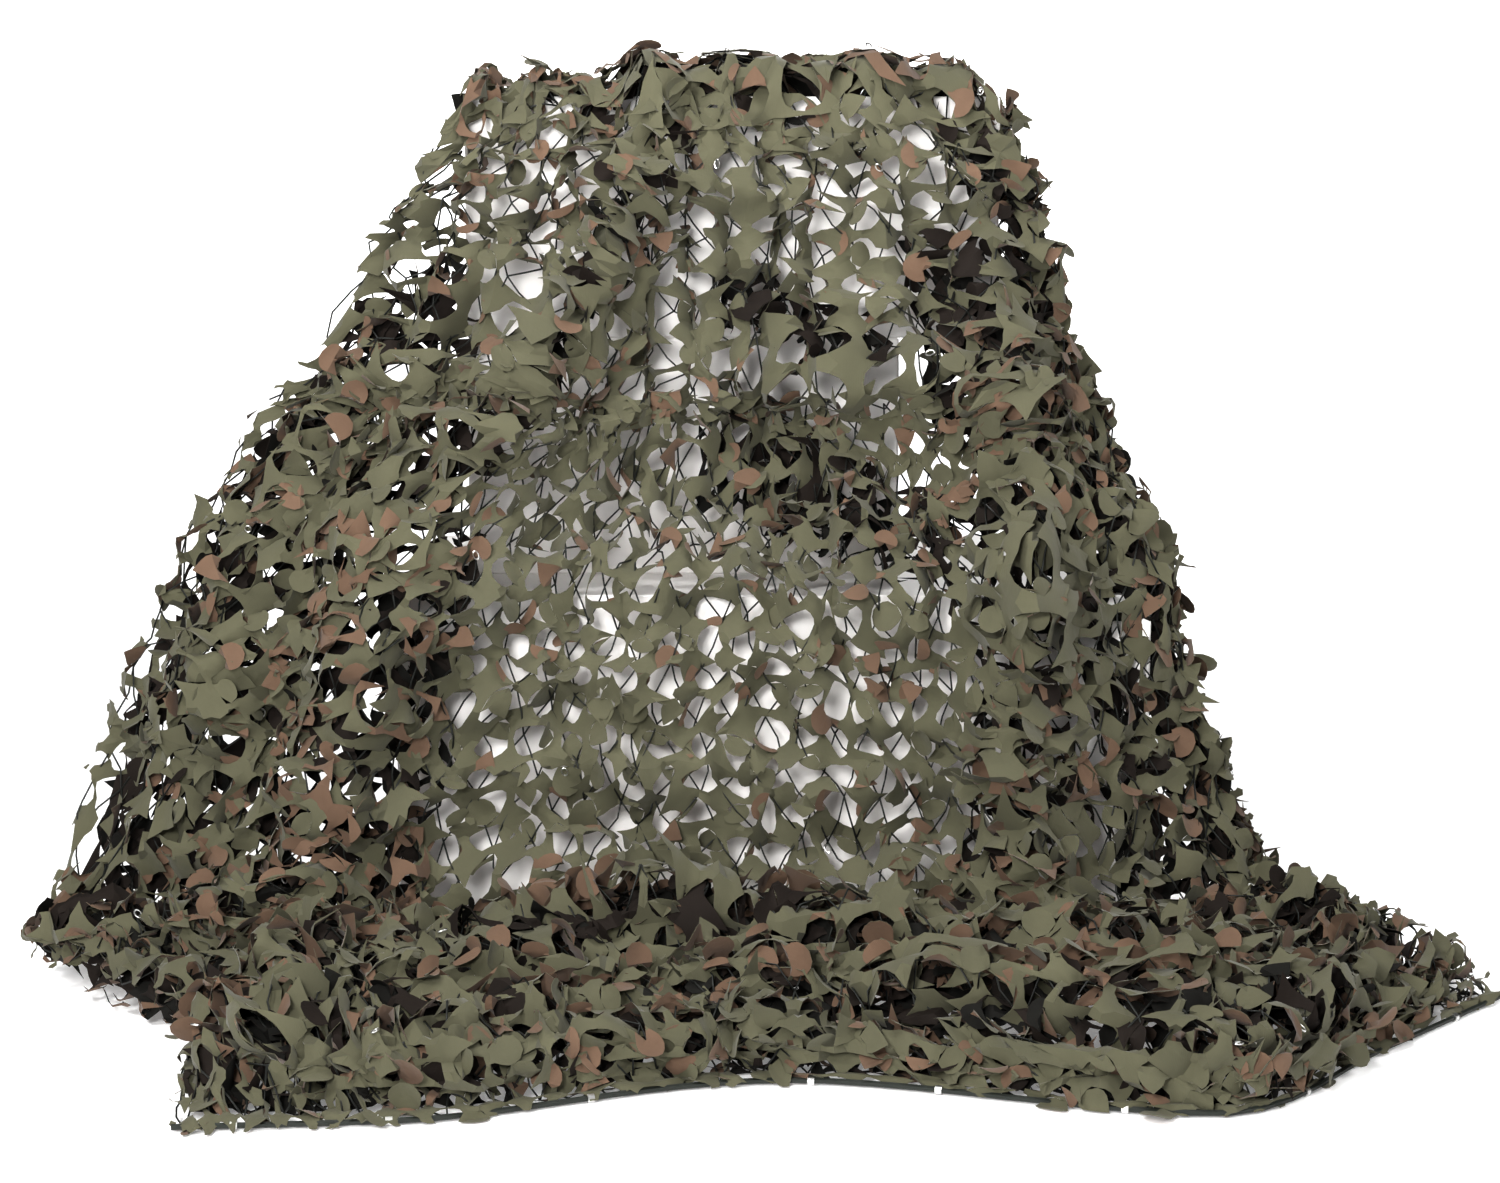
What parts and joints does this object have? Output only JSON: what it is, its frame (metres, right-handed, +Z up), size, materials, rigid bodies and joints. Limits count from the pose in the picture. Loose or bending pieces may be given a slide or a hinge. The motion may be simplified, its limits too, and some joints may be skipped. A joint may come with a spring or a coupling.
{
  "type": "camouflage net over a stepped display stand",
  "caption": "Leaf-cut camouflage net draped over a stepped stand of plain blocks, spread at one side and pooled on the floor in front.",
  "frame": {"origin": "middle of the footprint, on the floor", "axes": "+X to the right of someone facing the net's front, +Y away from them, +Z up"},
  "size_m": [2.384, 1.6688, 1.5212],
  "materials": {
    "net_cloth": "matt woven cloth, olive face and brown back",
    "edge_cord": "dark green braided cord",
    "clip_metal": "zinc plated, bent",
    "stand_paint": "board painted matt white"
  },
  "bodies": {
    "root": {"net": "net_cloth", "edge_cord": "edge_cord", "clip_01": "clip_metal", "clip_02": "clip_metal", "clip_03": "clip_metal", "clip_04": "clip_metal", "clip_05": "clip_metal", "clip_06": "clip_metal", "clip_07": "clip_metal", "clip_08": "clip_metal", "stand_base": "stand_paint", "stand_middle": "stand_paint", "stand_top": "stand_paint"}
  },
  "joints": []
}
